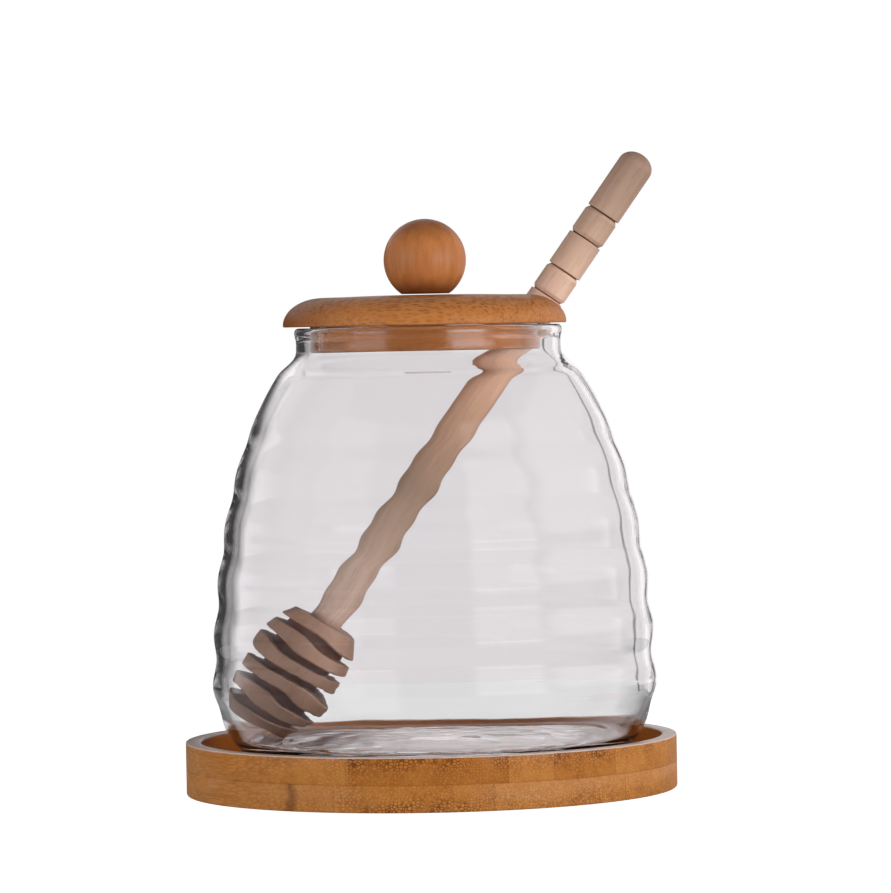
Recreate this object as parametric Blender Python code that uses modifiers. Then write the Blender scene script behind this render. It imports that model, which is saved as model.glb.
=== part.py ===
"""A glass beehive honey jar with its bamboo lid, ball knob, wooden honey dipper and round bamboo tray.

Metres, +Z up. The origin is the centre of the tray's underside, which is the face the set stands on.
The jar stands a little to the right of the tray's centre, and the dipper leans in the XZ plane.
"""

from math import cos, pi, radians, sin, sqrt

import bmesh
import bpy
from mathutils import Matrix, Vector

MM = 0.001
FIT_GAP = 0.3 * MM

# Tray: a lower disc and an upper ring glued together, turned as one piece
TRAY_RADIUS = 61.4 * MM
TRAY_HEIGHT = 13.3 * MM
TRAY_FLOOR = 5.5 * MM
TRAY_WALL = 3.9 * MM
TRAY_EDGE = 0.6 * MM
TRAY_CORNER = 1.6 * MM

# Jar: its outside is a tall dome with six soft ribs, blown in one piece
JAR_X = 1.2 * MM
JAR_BOTTOM = TRAY_FLOOR + FIT_GAP
JAR_TOP = 116.0 * MM
JAR_RADIUS = 55.4 * MM
DOME_RISE = 117.7 * MM
DOME_FALL_POWER = 2.70
DOME_ROUND_POWER = 2.53
WALL = 2.0 * MM
BASE_THICKNESS = 6.3 * MM
JAR_FLOOR = JAR_BOTTOM + BASE_THICKNESS
PUNT_RISE = 1.0 * MM
FOOT_INNER_RADIUS = 31.0 * MM
FOOT_OUTER_RADIUS = 34.0 * MM
CORNER_TOP = 32.0 * MM
CORNER_POWER = 2.42
CORNER_SHARES = (0.62, 0.32, 0.12, 0.02)
RIB_COUNT = 6
RIB_PITCH = 13.5 * MM
FIRST_RIB = 26.75 * MM
LAST_RIB = FIRST_RIB + (RIB_COUNT - 1) * RIB_PITCH
BOTTOM_RIB_DEPTH = 0.50 * MM
TOP_RIB_DEPTH = 0.22 * MM
INNER_RIB_SHARE = 0.86
INNER_RIB_FADE = 12.0 * MM
INNER_CORNER_RISE = 3.0 * MM
NECK_RADIUS = 33.1 * MM
NECK_INNER_RADIUS = 31.1 * MM
SHOULDER_LOW = 103.0 * MM
SHOULDER_HIGH = 110.9 * MM
LIP_RADIUS = 1.2 * MM
LIP_MIDDLE_RADIUS = NECK_INNER_RADIUS + LIP_RADIUS

# Lid: a disc with a rounded upper edge, and below it a plug that drops into the neck
LID_X = JAR_X - 0.7 * MM
LID_BOTTOM = JAR_TOP + FIT_GAP
LID_TOP = 123.8 * MM
LID_RADIUS = 35.6 * MM
LID_ROUND_WIDTH = 10.0 * MM
LID_ROUND_HEIGHT = 6.9 * MM
LID_EDGE = 0.5 * MM
PLUG_RADIUS = 28.8 * MM
PLUG_BOTTOM = 109.9 * MM
PLUG_EDGE = 0.5 * MM
NOTCH_HALF_WIDTH = 5.6 * MM
NOTCH_END_X = JAR_X + 20.4 * MM

# Knob: a turned ball, cut flat where it stands on the lid
KNOB_X = JAR_X - 0.5 * MM
KNOB_RADIUS = 10.3 * MM
KNOB_FLAT_DROP = 8.4 * MM
KNOB_BOTTOM = LID_TOP + FIT_GAP

# Dipper: one turned stick, here measured from its round tip along its axis
DIPPER_LEAN = radians(35.3)
DIPPER_LENGTH = 172.1 * MM
DIPPER_TIP = Vector((JAR_X + 54.44 * MM, 0.0, 157.65 * MM))
TIP_DOME = 3.6 * MM
GRIP_RADIUS = 4.5 * MM
STEM_RADIUS = 4.4 * MM
GRIP_GROOVE = 0.35 * MM
GRIP_GROOVE_RADIUS = 3.8 * MM
GRIP_CHAMFER = 1.3 * MM
GRIP_CUFFS = (17.6 * MM, 7.3 * MM, 9.3 * MM, 7.0 * MM, 9.3 * MM)
HEAD_START = 141.4 * MM
HEAD_MIDDLE = 156.3 * MM
HEAD_RADIUS = 12.3 * MM
HEAD_HALF_LENGTH = 22.5 * MM
HEAD_CORE_RADIUS = 8.0 * MM
DISC_COUNT = 6
DISC_THICKNESS = 3.5 * MM
DISC_EDGE = 0.6 * MM
END_DOME = 0.7 * MM

# Facets
JAR_STEPS = 36
LID_STEPS = 44
TRAY_STEPS = 48
KNOB_STEPS = 24
DIPPER_STEPS = 18


def clear_scene():
    for obj in list(bpy.data.objects):
        bpy.data.objects.remove(obj)


def new_collection(name):
    collection = bpy.data.collections.new(name)
    bpy.context.scene.collection.children.link(collection)
    return collection


def finish(name, colour, roughness, transmission=0.0):
    material = bpy.data.materials.new(name)
    material.use_nodes = True
    shader = material.node_tree.nodes["Principled BSDF"]
    shader.inputs["Base Color"].default_value = (*colour, 1.0)
    shader.inputs["Roughness"].default_value = roughness
    shader.inputs["Metallic"].default_value = 0.0
    shader.inputs["Transmission Weight"].default_value = transmission
    shader.inputs["IOR"].default_value = 1.47
    return material


def turned(name, profile, steps, material, collection):
    """A solid of revolution. The profile starts and ends on the axis and runs down its outer side."""
    mesh = bpy.data.meshes.new(name)
    edges = [(i, i + 1) for i in range(len(profile) - 1)]
    mesh.from_pydata([(radius, 0.0, height) for radius, height in profile], edges, [])
    mesh.materials.append(material)
    obj = bpy.data.objects.new(name, mesh)
    collection.objects.link(obj)
    screw = obj.modifiers.new("Turn", "SCREW")
    screw.axis = "Z"
    screw.angle = 2 * pi
    screw.screw_offset = 0.0
    screw.steps = steps
    screw.render_steps = steps
    screw.use_merge_vertices = True
    screw.merge_threshold = 0.00002
    screw.use_smooth_shade = True
    return obj


def arc(centre, radii, start, end, count):
    """Points on an elliptical arc, both ends included, with its angles in degrees."""
    angles = [radians(start + (end - start) * i / (count - 1)) for i in range(count)]
    return [(centre[0] + radii[0] * cos(a), centre[1] + radii[1] * sin(a)) for a in angles]


def spread(low, high, count):
    return [low + (high - low) * i / (count - 1) for i in range(count)]


def ease(share):
    share = min(max(share, 0.0), 1.0)
    return share * share * (3 - 2 * share)


def make_tray(material, collection):
    inside = TRAY_RADIUS - TRAY_WALL
    rim = TRAY_HEIGHT - TRAY_EDGE
    profile = [(0.0, TRAY_FLOOR), (inside - TRAY_CORNER, TRAY_FLOOR)]
    profile += arc((inside - TRAY_CORNER, TRAY_FLOOR + TRAY_CORNER), (TRAY_CORNER, TRAY_CORNER), -60, 0, 3)
    profile += arc((inside + TRAY_EDGE, rim), (TRAY_EDGE, TRAY_EDGE), 180, 90, 3)
    profile += arc((TRAY_RADIUS - TRAY_EDGE, rim), (TRAY_EDGE, TRAY_EDGE), 90, 0, 3)
    profile += arc((TRAY_RADIUS - TRAY_EDGE, TRAY_EDGE), (TRAY_EDGE, TRAY_EDGE), 0, -90, 3)
    profile += [(0.0, 0.0)]
    return turned("tray", profile, TRAY_STEPS, material, collection)


def rib_swell(height):
    """The ribs are one cosine wave, deepest at the bottom rib, which fades out beyond the first and last."""
    turns = (height - FIRST_RIB) / RIB_PITCH
    turns_left = (LAST_RIB - height) / RIB_PITCH
    fade = ease(turns + 1.05) * ease(turns_left + 0.3)
    depth = TOP_RIB_DEPTH + (BOTTOM_RIB_DEPTH - TOP_RIB_DEPTH) * turns_left / (RIB_COUNT - 1)
    return fade * depth * cos(2 * pi * turns)


def dome_radius(height):
    """The jar's outer radius without its ribs."""
    share = (height - JAR_BOTTOM) / DOME_RISE
    dome = JAR_RADIUS * (1 - share**DOME_FALL_POWER) ** (1 / DOME_ROUND_POWER)
    to_neck = ease((height - SHOULDER_LOW) / (SHOULDER_HIGH - SHOULDER_LOW))
    return dome + (NECK_RADIUS - dome) * to_neck


def smooth_radius(height):
    """The jar's outer radius without its ribs, down through the rounded turn into the flat base."""
    wall = dome_radius(height)
    if height >= CORNER_TOP:
        return wall
    share = (CORNER_TOP - height) / (CORNER_TOP - JAR_BOTTOM)
    reach = JAR_RADIUS - FOOT_OUTER_RADIUS
    return wall - reach * (1 - (1 - share**CORNER_POWER) ** (1 / CORNER_POWER))


def slope(height):
    """How fast the jar's radius grows with its height."""
    step = 0.1 * MM
    return (smooth_radius(height + step) - smooth_radius(height - step)) / (2 * step)


def outer_radius(height):
    return smooth_radius(height) + rib_swell(height)


def inner_radius(height):
    """One wall inside the outer face, with shallower ribs that fade out towards the floor."""
    fade = ease((height - JAR_FLOOR) / INNER_RIB_FADE)
    wall = smooth_radius(height) - WALL * sqrt(1 + slope(height) ** 2)
    return wall + INNER_RIB_SHARE * fade * rib_swell(height)


def inner_corner():
    """The round turn from the floor up into the wall, which leaves both along their own slopes."""
    top = JAR_FLOOR + INNER_CORNER_RISE
    radius = inner_radius(top)
    turn = radius - slope(top) * INNER_CORNER_RISE
    end = turn - sqrt((radius - turn) ** 2 + INNER_CORNER_RISE**2)
    points = []
    for share in spread(0.0, 1.0, 5):
        near, middle, far = (1 - share) ** 2, 2 * share * (1 - share), share**2
        points.append((near * end + middle * turn + far * radius, (near + middle) * JAR_FLOOR + far * top))
    return points


def side_heights(points_per_rib):
    """Heights from the shoulder down towards the floor, which fall on each rib's crest and trough."""
    step = RIB_PITCH / points_per_rib
    above = int((SHOULDER_LOW - FIRST_RIB) / step)
    below = points_per_rib - 1
    shoulder = spread(SHOULDER_HIGH, SHOULDER_LOW, 5)[1:]
    return shoulder + [FIRST_RIB + number * step for number in range(above, -below - 1, -1)]


def make_jar(material, collection):
    profile = [(0.0, JAR_FLOOR + PUNT_RISE / 2), (FOOT_INNER_RADIUS * 0.6, JAR_FLOOR + PUNT_RISE / 4)]
    profile += [(FOOT_INNER_RADIUS, JAR_FLOOR)] + inner_corner()
    profile += [(inner_radius(z), z) for z in reversed(side_heights(4))]
    profile += [(NECK_INNER_RADIUS, SHOULDER_HIGH)]
    profile += arc((LIP_MIDDLE_RADIUS, JAR_TOP - LIP_RADIUS), (LIP_RADIUS, LIP_RADIUS), 180, 0, 7)
    profile += [(LIP_MIDDLE_RADIUS + LIP_RADIUS, JAR_TOP - 2.0 * MM), (NECK_RADIUS, JAR_TOP - 3.6 * MM)]
    profile += [(NECK_RADIUS, SHOULDER_HIGH)]
    sides = side_heights(6)
    corner = [JAR_BOTTOM + share * (sides[-1] - JAR_BOTTOM) for share in CORNER_SHARES]
    profile += [(outer_radius(z), z) for z in sides + corner]
    profile += [(FOOT_OUTER_RADIUS, JAR_BOTTOM), (FOOT_INNER_RADIUS, JAR_BOTTOM)]
    profile += [(FOOT_INNER_RADIUS * 0.6, JAR_BOTTOM + PUNT_RISE * 0.8), (0.0, JAR_BOTTOM + PUNT_RISE)]
    jar = turned("jar", profile, JAR_STEPS, material, collection)
    jar.location.x = JAR_X
    return jar


def cut(obj, cutter):
    modifier = obj.modifiers.new("Cut " + cutter.name, "BOOLEAN")
    modifier.operation = "DIFFERENCE"
    modifier.solver = "EXACT"
    modifier.object = cutter


def hidden_cutter(name, shape, collection):
    mesh = bpy.data.meshes.new(name)
    shape.to_mesh(mesh)
    shape.free()
    cutter = bpy.data.objects.new(name, mesh)
    collection.objects.link(cutter)
    cutter.hide_render = True
    cutter.display_type = "WIRE"
    return cutter


def notch_cutter(collection):
    """The dipper's notch: a slot with a round inner end, open at the lid's right edge."""
    low, high = PLUG_BOTTOM - 2 * MM, LID_TOP + 2 * MM
    reach = LID_RADIUS + 4 * MM
    middle = (low + high) / 2
    width = 2 * NOTCH_HALF_WIDTH
    end = bmesh.new()
    at_end = Matrix.Translation((NOTCH_END_X, 0.0, middle))
    bmesh.ops.create_cone(end, cap_ends=True, segments=24, radius1=NOTCH_HALF_WIDTH,
                          radius2=NOTCH_HALF_WIDTH, depth=high - low, matrix=at_end)
    slot = bmesh.new()
    at_slot = Matrix.Translation((NOTCH_END_X + reach / 2, 0.0, middle))
    size = Matrix.Diagonal((reach, width, high - low + 1 * MM, 1.0))
    bmesh.ops.create_cube(slot, size=1.0, matrix=at_slot @ size)
    return [hidden_cutter("notch_end", end, collection), hidden_cutter("notch_slot", slot, collection)]


def make_lid(material, collection, cutters):
    crown = LID_TOP - 0.3 * MM
    round_middle = (LID_RADIUS - LID_ROUND_WIDTH, crown - LID_ROUND_HEIGHT)
    profile = [(0.0, LID_TOP), (KNOB_RADIUS, LID_TOP)]
    profile += arc(round_middle, (LID_ROUND_WIDTH, LID_ROUND_HEIGHT), 90, 0, 8)
    profile += [(LID_RADIUS - LID_EDGE, LID_BOTTOM), (PLUG_RADIUS, LID_BOTTOM)]
    profile += [(PLUG_RADIUS, PLUG_BOTTOM + PLUG_EDGE), (PLUG_RADIUS - PLUG_EDGE, PLUG_BOTTOM)]
    profile += [(0.0, PLUG_BOTTOM)]
    lid = turned("lid", profile, LID_STEPS, material, collection)
    lid.location.x = LID_X
    for cutter in cutters:
        cut(lid, cutter)
    return lid


def make_knob(material, collection):
    centre = KNOB_FLAT_DROP
    flat_radius = sqrt(KNOB_RADIUS**2 - KNOB_FLAT_DROP**2)
    foot_angle = -57
    profile = arc((0.0, centre), (KNOB_RADIUS, KNOB_RADIUS), 90, foot_angle, 13)
    profile[0] = (0.0, centre + KNOB_RADIUS)
    profile[-1] = (flat_radius, 0.0)
    profile += [(0.0, 0.0)]
    knob = turned("knob", profile, KNOB_STEPS, material, collection)
    knob.location = (KNOB_X, 0.0, KNOB_BOTTOM)
    return knob


def grip_profile():
    """The turned grip, as radius against distance from the tip: long plain cuffs and short chamfered
    ones by turns, with a narrow groove after each."""
    points = [(0.0, 0.0)]
    points += [(GRIP_RADIUS * sin(a), TIP_DOME * (1 - cos(a))) for a in (0.45, 0.9, 1.3, pi / 2)]
    along = 0.0
    for number, length in enumerate(GRIP_CUFFS):
        chamfered = number % 2 == 1
        if chamfered:
            points += [(GRIP_RADIUS, along + GRIP_CHAMFER), (GRIP_RADIUS, along + length - GRIP_CHAMFER)]
        else:
            points += [(GRIP_RADIUS, along)] * (number > 0) + [(GRIP_RADIUS, along + length)]
        along += length
        points += [(GRIP_GROOVE_RADIUS, along + 0.05 * MM), (GRIP_GROOVE_RADIUS, along + GRIP_GROOVE)]
        along += GRIP_GROOVE
    return points + [(STEM_RADIUS, along + 0.3 * MM)]


def head_profile():
    """The grooved head, whose discs follow one barrel shape."""
    points = []
    pitch = (DIPPER_LENGTH - HEAD_START - DISC_THICKNESS) / (DISC_COUNT - 1)
    for number in range(DISC_COUNT):
        start = HEAD_START + number * pitch
        last = number == DISC_COUNT - 1
        edges = []
        for along in (start, start + DISC_THICKNESS):
            share = (along - HEAD_MIDDLE) / HEAD_HALF_LENGTH
            edges.append(HEAD_RADIUS * sqrt(1 - share * share))
        root = STEM_RADIUS if number == 0 else HEAD_CORE_RADIUS
        points += [(root, start), (edges[0] - DISC_EDGE, start), (edges[0], start + DISC_EDGE)]
        points += [(edges[1], start + DISC_THICKNESS - DISC_EDGE)]
        points += [(edges[1] - DISC_EDGE, start + DISC_THICKNESS)] * (not last)
        points += [(HEAD_CORE_RADIUS, start + DISC_THICKNESS)] * (not last)
    return points + [(edges[1] - 2 * END_DOME, DIPPER_LENGTH - END_DOME / 2), (0.0, DIPPER_LENGTH)]


def make_dipper(material, collection):
    down = grip_profile() + head_profile()
    dipper = turned("dipper", [(radius, -along) for radius, along in down], DIPPER_STEPS, material, collection)
    lean = bpy.data.objects.new("dipper_lean", None)
    collection.objects.link(lean)
    lean.location = DIPPER_TIP
    lean.rotation_euler.y = DIPPER_LEAN
    dipper.parent = lean
    return dipper


def main():
    clear_scene()
    parts = new_collection("honey_jar")
    cutters = new_collection("cutters")
    glass = finish("clear_glass", (0.95, 0.95, 0.95), 0.02, transmission=1.0)
    bamboo = finish("bamboo", (0.46, 0.24, 0.09), 0.38)
    stained_wood = finish("stained_wood", (0.42, 0.16, 0.06), 0.32)
    pale_wood = finish("pale_wood", (0.47, 0.32, 0.22), 0.6)
    make_tray(bamboo, parts)
    make_jar(glass, parts)
    make_lid(bamboo, parts, notch_cutter(cutters))
    make_knob(stained_wood, parts)
    make_dipper(pale_wood, parts)


main()
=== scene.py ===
"""Looks of the beehive honey jar: clear ribbed glass, lacquered bamboo, a stained ball knob and a pale
turned dipper, on a pale floor in a bright studio. Metres, +Z up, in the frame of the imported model."""

from collections import namedtuple
from math import cos, pi, radians, sin, sqrt

import bmesh
import bpy
from mathutils import Matrix, Vector


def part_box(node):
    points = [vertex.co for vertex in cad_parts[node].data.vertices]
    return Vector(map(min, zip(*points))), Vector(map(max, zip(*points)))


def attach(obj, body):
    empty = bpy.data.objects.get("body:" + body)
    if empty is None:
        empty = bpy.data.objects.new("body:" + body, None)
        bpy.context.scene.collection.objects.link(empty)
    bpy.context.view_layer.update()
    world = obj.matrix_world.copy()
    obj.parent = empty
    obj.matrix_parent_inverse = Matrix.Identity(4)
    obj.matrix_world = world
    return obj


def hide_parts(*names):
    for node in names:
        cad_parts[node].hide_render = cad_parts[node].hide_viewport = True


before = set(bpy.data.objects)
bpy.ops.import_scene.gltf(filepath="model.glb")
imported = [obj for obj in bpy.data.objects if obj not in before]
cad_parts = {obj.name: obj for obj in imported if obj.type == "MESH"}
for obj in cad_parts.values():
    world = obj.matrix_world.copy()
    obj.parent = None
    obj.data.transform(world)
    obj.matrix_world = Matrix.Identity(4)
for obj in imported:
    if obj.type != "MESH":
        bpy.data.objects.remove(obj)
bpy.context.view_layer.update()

MM = 0.001

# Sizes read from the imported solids
TRAY_LOW, TRAY_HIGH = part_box("tray")
JAR_LOW, JAR_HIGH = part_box("jar")
LID_LOW, LID_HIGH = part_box("lid")
KNOB_LOW, KNOB_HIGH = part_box("knob")

# Tray
TRAY_RADIUS = TRAY_HIGH.y
TRAY_HEIGHT = TRAY_HIGH.z
TRAY_FLOOR = 5.5 * MM
TRAY_WALL = 3.9 * MM
TRAY_EDGE = 0.6 * MM
TRAY_TOP_EDGE = 0.25 * MM
TRAY_CORNER = 1.6 * MM
TRAY_SEAM = TRAY_HEIGHT / 2
SEAM_GROOVE_HALF_WIDTH = 0.10 * MM
SEAM_GROOVE_DEPTH = 0.06 * MM

# Jar
JAR_X = 1.2 * MM
JAR_BOTTOM = JAR_LOW.z
JAR_TOP = JAR_HIGH.z
JAR_RADIUS = 55.4 * MM
DOME_RISE = 117.7 * MM
DOME_FALL_POWER = 2.70
DOME_ROUND_POWER = 2.53
WALL = 2.0 * MM
BASE_THICKNESS = 6.3 * MM
PUNT_RISE = 1.0 * MM
FOOT_INNER_RADIUS = 31.0 * MM
FOOT_OUTER_RADIUS = 34.0 * MM
CORNER_TOP = 32.0 * MM
CORNER_POWER = 2.42
RIB_COUNT = 6
RIB_PITCH = 13.5 * MM
FIRST_RIB = 26.75 * MM
BOTTOM_RIB_DEPTH = 0.50 * MM
TOP_RIB_DEPTH = 0.22 * MM
INNER_RIB_SHARE = 0.86
INNER_RIB_FADE = 12.0 * MM
VALLEY_SHARPNESS = 0.10
INNER_CORNER_RISE = 3.0 * MM
NECK_RADIUS = 33.1 * MM
NECK_INNER_RADIUS = 31.1 * MM
SHOULDER_LOW = 104.6 * MM
SHOULDER_HIGH = 110.9 * MM
LIP_RADIUS = 1.2 * MM
LIP_MIDDLE_RADIUS = NECK_INNER_RADIUS + LIP_RADIUS
LIP_FALL = 2.4 * MM
PROFILE_STEP = 0.9 * MM
BLOWN_RIPPLE = 0.04 * MM
RIPPLE_SIZE = 16.0 * MM
FLOOR_RIPPLE = 0.85 * MM
FLOOR_RIPPLE_SIZE = 9.0 * MM
FLOOR_RIPPLE_REACH = 0.8
RIPPLE_SEED = 3.0

# Where the ribs fade and their valleys sharpen, in ribs above the first one or below the last one
RIBS_FADE_IN = (-1.05, -0.05)
RIBS_FADE_OUT = (-0.3, 0.7)
VALLEYS_SHARPEN = (1.0, 2.5)

# Lid
LID_X = JAR_X - 0.7 * MM
LID_BOTTOM = JAR_TOP + 0.3 * MM
LID_TOP = LID_HIGH.z
LID_RADIUS = LID_HIGH.y
LID_ROUND_WIDTH = 10.0 * MM
LID_ROUND_HEIGHT = 6.9 * MM
LID_CROWN_FALL = 0.3 * MM
LID_LOWER_EDGE = 0.4 * MM
PLUG_RADIUS = 28.8 * MM
PLUG_BOTTOM = LID_LOW.z
PLUG_EDGE = 0.5 * MM
NOTCH_HALF_WIDTH = 5.6 * MM
NOTCH_END_X = JAR_X + 20.4 * MM
NOTCH_SIDES = 48
CUT_MARGIN = 2 * MM

# Knob
KNOB_X = JAR_X - 0.5 * MM
KNOB_RADIUS = 10.3 * MM
KNOB_FLAT_DROP = 8.4 * MM
KNOB_BOTTOM = KNOB_LOW.z
# In degrees, from beside the pole down to the flat
KNOB_ARC = (88, -54.6)

# Dipper, measured from its round tip along its axis
DIPPER_LEAN = radians(35.3)
DIPPER_LENGTH = 172.1 * MM
DIPPER_TIP = Vector((JAR_X + 54.44 * MM, 0.0, 157.65 * MM))
TIP_DOME = 3.6 * MM
GRIP_RADIUS = 4.5 * MM
STEM_RADIUS = 4.4 * MM
GRIP_GROOVE = 0.35 * MM
GRIP_GROOVE_RADIUS = 3.8 * MM
GRIP_GROOVE_CORNER = 0.06 * MM
GRIP_CHAMFER = 0.85 * MM
GRIP_CHAMFER_DEPTH = 0.48 * MM
CUFF_EDGE = 0.12 * MM
GRIP_CUFFS = (17.6 * MM, 7.3 * MM, 9.3 * MM, 7.0 * MM, 9.3 * MM)
HEAD_START = 141.4 * MM
HEAD_MIDDLE = 156.3 * MM
HEAD_RADIUS = 12.3 * MM
HEAD_HALF_LENGTH = 22.5 * MM
HEAD_CORE_RADIUS = 8.0 * MM
DISC_COUNT = 6
DISC_THICKNESS = 3.5 * MM
DISC_EDGE = 0.45 * MM
DISC_ROOT_CORNER = 0.2 * MM
END_DOME = 0.21 * MM

# Facets round each turned piece, and points on a small rounded edge
JAR_SIDES = 224
LID_SIDES = 160
TRAY_SIDES = 224
KNOB_SIDES = 112
DIPPER_SIDES = 72
EDGE_POINTS = 6

# The spindle is the small circle that each profile is carried round
SPINDLE = 0.1 * MM
POLE_MERGE = 0.02 * MM
SHARP_ANGLE = radians(38)
DIPPER_SHARP_ANGLE = radians(24)
PROFILE_MARKS = ("rib_share", "floor_share")

# A strip of a board starts at a place across the fibres, and has a darkness and a strength of its dark
# bundles. A net draws the bundles, by the size of its cells, their squeeze along the fibres, its Voronoi
# feature and how far the dark reaches from it.
Strip = namedtuple("Strip", "start darkness bundles")
Net = namedtuple("Net", "cell squeeze feature reach")

# A board has its strips in two glued layers, above and below a seam, and a coat of lacquer on each layer and
# on the rim's top. Within a radius and below a height the colour is a deeper orange, by a share, and towards
# one end the board is shaded, from a place to a place and by a share.
Board = namedtuple("Board", (
    "light", "middle", "fibre_turn", "net", "seam", "strips_above", "strips_below",
    "coat_above", "coat_below", "coat_on_rim",
    "inner_radius", "inner_height", "inner_share", "shade_start", "shade_end", "shade_share",
))

BOARD_WIDTH = 160 * MM
BOARD_EDGE = -BOARD_WIDTH / 2
TRAY_BOARD = Board(
    light=(0.610, 0.258, 0.064, 1.0),
    middle=(0.430, 0.142, 0.018, 1.0),
    fibre_turn=radians(60),
    net=Net(0.72 * MM, 0.08, "DISTANCE_TO_EDGE", 0.20),
    seam=TRAY_SEAM,
    strips_above=(
        Strip(BOARD_EDGE, 0.15, 0.45), Strip(-46.6 * MM, 0.62, 1.0), Strip(-13.4 * MM, 0.10, 0.60),
        Strip(-1.3 * MM, 0.50, 0.90), Strip(17.5 * MM, 0.05, 0.60), Strip(36.0 * MM, 0.0, 0.45),
        Strip(55.0 * MM, 0.0, 0.45),
    ),
    strips_below=(
        Strip(BOARD_EDGE, 0.0, 0.35), Strip(-48.7 * MM, 0.20, 0.85), Strip(-16.8 * MM, 0.0, 0.50),
        Strip(2.1 * MM, 0.10, 0.70), Strip(21.0 * MM, 0.0, 0.55), Strip(40.0 * MM, 0.0, 0.45),
    ),
    coat_above=0.14,
    coat_below=0.14,
    coat_on_rim=0.34,
    inner_radius=TRAY_RADIUS - TRAY_WALL + TRAY_EDGE / 2,
    inner_height=TRAY_HEIGHT,
    inner_share=0.75,
    shade_start=BOARD_EDGE - 1 * MM,
    shade_end=BOARD_EDGE,
    shade_share=0.0,
)
LID_BOARD = Board(
    light=(0.550, 0.240, 0.100, 1.0),
    middle=(0.390, 0.135, 0.026, 1.0),
    fibre_turn=radians(8),
    net=Net(0.66 * MM, 0.26, "F1", 0.60),
    seam=LID_BOTTOM,
    strips_above=(
        Strip(BOARD_EDGE, 0.60, 0.80), Strip(-27 * MM, 0.70, 1.0), Strip(-9 * MM, 0.85, 1.0),
        Strip(10 * MM, 0.55, 0.90), Strip(28 * MM, 0.30, 0.80),
    ),
    strips_below=(
        Strip(BOARD_EDGE, 0.45, 0.60), Strip(-18 * MM, 0.60, 0.80), Strip(2 * MM, 0.40, 0.70),
        Strip(20 * MM, 0.50, 0.80),
    ),
    coat_above=0.12,
    coat_below=1.0,
    coat_on_rim=0.12,
    inner_radius=PLUG_RADIUS + PLUG_EDGE,
    inner_height=LID_BOTTOM,
    inner_share=0.50,
    shade_start=-36 * MM,
    shade_end=-12 * MM,
    shade_share=0.66,
)

# Bamboo's colours and marks that all boards share
BAMBOO_DARK = (0.100, 0.022, 0.003, 1.0)
# A deeper orange, inside the tray and on the lid's plug
DEEP_ORANGE = (0.620, 0.185, 0.026, 1.0)
# A painted highlight, pale, along the top of the tray's rim
RIM_HIGHLIGHT = (0.85, 0.74, 0.68, 1.0)
RIM_HIGHLIGHT_SHARE = 0.6
RIM_DEPTH = 0.25 * MM
NET_RANDOMNESS = 0.85
BUNDLE_SHARE = 0.95
PATCH_SIZE = 5 * MM
CLOUD_SIZE = 26 * MM
STREAK_SIZE = 1.6 * MM
GRAIN_SIZE = 0.45 * MM
GLUE_SHARE = 0.24
KNUCKLE_PLACE = 27.1 * MM
KNUCKLE_SHARE = 0.55
KNUCKLE_SHARE_ABOVE = 0.15
KNUCKLE_STRAY = 5 * MM
KNUCKLE_STRAY_SIZE = 3.5 * MM

# Where bundles grow strong away from the seam, and where lines fade away from their middles
BUNDLES_STRENGTHEN = (1.5 * MM, 6.2 * MM)
GLUE_LINE = (0.05 * MM, 0.22 * MM)
SEAM_LINE = (0.05 * MM, 0.25 * MM)
KNUCKLE_LINE = (0.3 * MM, 2.2 * MM)

# The knob's wood, with painted shade towards the top and the bottom of the ball, which runs between two
# heights over the ball's middle and between two shares
KNOB_LIGHT = (0.425, 0.158, 0.048, 1.0)
KNOB_DEEP = (0.310, 0.100, 0.028, 1.0)
KNOB_POLE_SHADE = (0.10, 0.025, 0.006, 1.0)
KNOB_FIGURE_SIZE = 2.2 * MM
KNOB_PORE_SIZE = 0.35 * MM
KNOB_TOP_SHADE = (4 * MM, 9 * MM, 0.0, 0.45)
KNOB_BOTTOM_SHADE = (-9 * MM, -3 * MM, 0.72, 0.0)

# The dipper's wood, as colours by how far each is from the tip, which paint light and shade along the stick,
# and as tints that darken them, among them painted shade in the grooves
DIPPER_SHADED_TONES = (
    (0 * MM, (0.285, 0.175, 0.124, 1.0)),
    (22 * MM, (0.44, 0.285, 0.205, 1.0)),
    (44 * MM, (0.68, 0.445, 0.335, 1.0)),
    (66 * MM, (0.82, 0.500, 0.342, 1.0)),
    (80 * MM, (0.56, 0.335, 0.222, 1.0)),
    (100 * MM, (0.38, 0.245, 0.170, 1.0)),
    (122 * MM, (0.53, 0.375, 0.295, 1.0)),
    (139 * MM, (0.57, 0.405, 0.325, 1.0)),
    (141.6 * MM, (0.37, 0.205, 0.135, 1.0)),
    (DIPPER_LENGTH, (0.29, 0.155, 0.100, 1.0)),
)
GROWTH_TINT = (0.72, 0.64, 0.58, 1.0)
FLECK_TINT = (0.50, 0.40, 0.34, 1.0)
# Painted shade in the grip's grooves, and painted shadow between the head's discs
GRIP_GROOVE_SHADE = (0.36, 0.18, 0.12, 1.0)
HEAD_SHADOW_TINT = (0.62, 0.34, 0.24, 1.0)
GROWTH_SIZE = 1.5 * MM
FLECK_SIZE = 0.28 * MM
# Where the painted shade of the grooves starts from the tip, and how far both painted shades keep from the
# head's start and the end
GROOVE_SHADE_START = 6 * MM
SHADE_MARGIN = 2 * MM

# Where the painted shade in the grip's grooves and the painted shadow between the head's discs fade,
# outwards from the dipper's axis
GRIP_GROOVE_SHADE_FADE = (3.9 * MM, 4.15 * MM)
HEAD_SHADOW_FADE = (8.2 * MM, 10.4 * MM)

# A card is a light or dark panel of the studio, by its light and by its start, end and soft edge, in degrees
# round the object and in degrees up. One with no elevation is as high as the room.
Card = namedtuple("Card", "light azimuth elevation", defaults=(None,))

WHITE = (1.0, 1.0, 1.0, 1.0)

# What lights the wood
ROOM_LIGHT = 0.15
HIGH_ROOM_LIGHT = 0.07
ROOM_CARDS = (
    Card(6.8, (92, 160, 8), (-10, 20, 4)),
    Card(4.4, (-150, -92, 8), (-10, 20, 4)),
)

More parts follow.
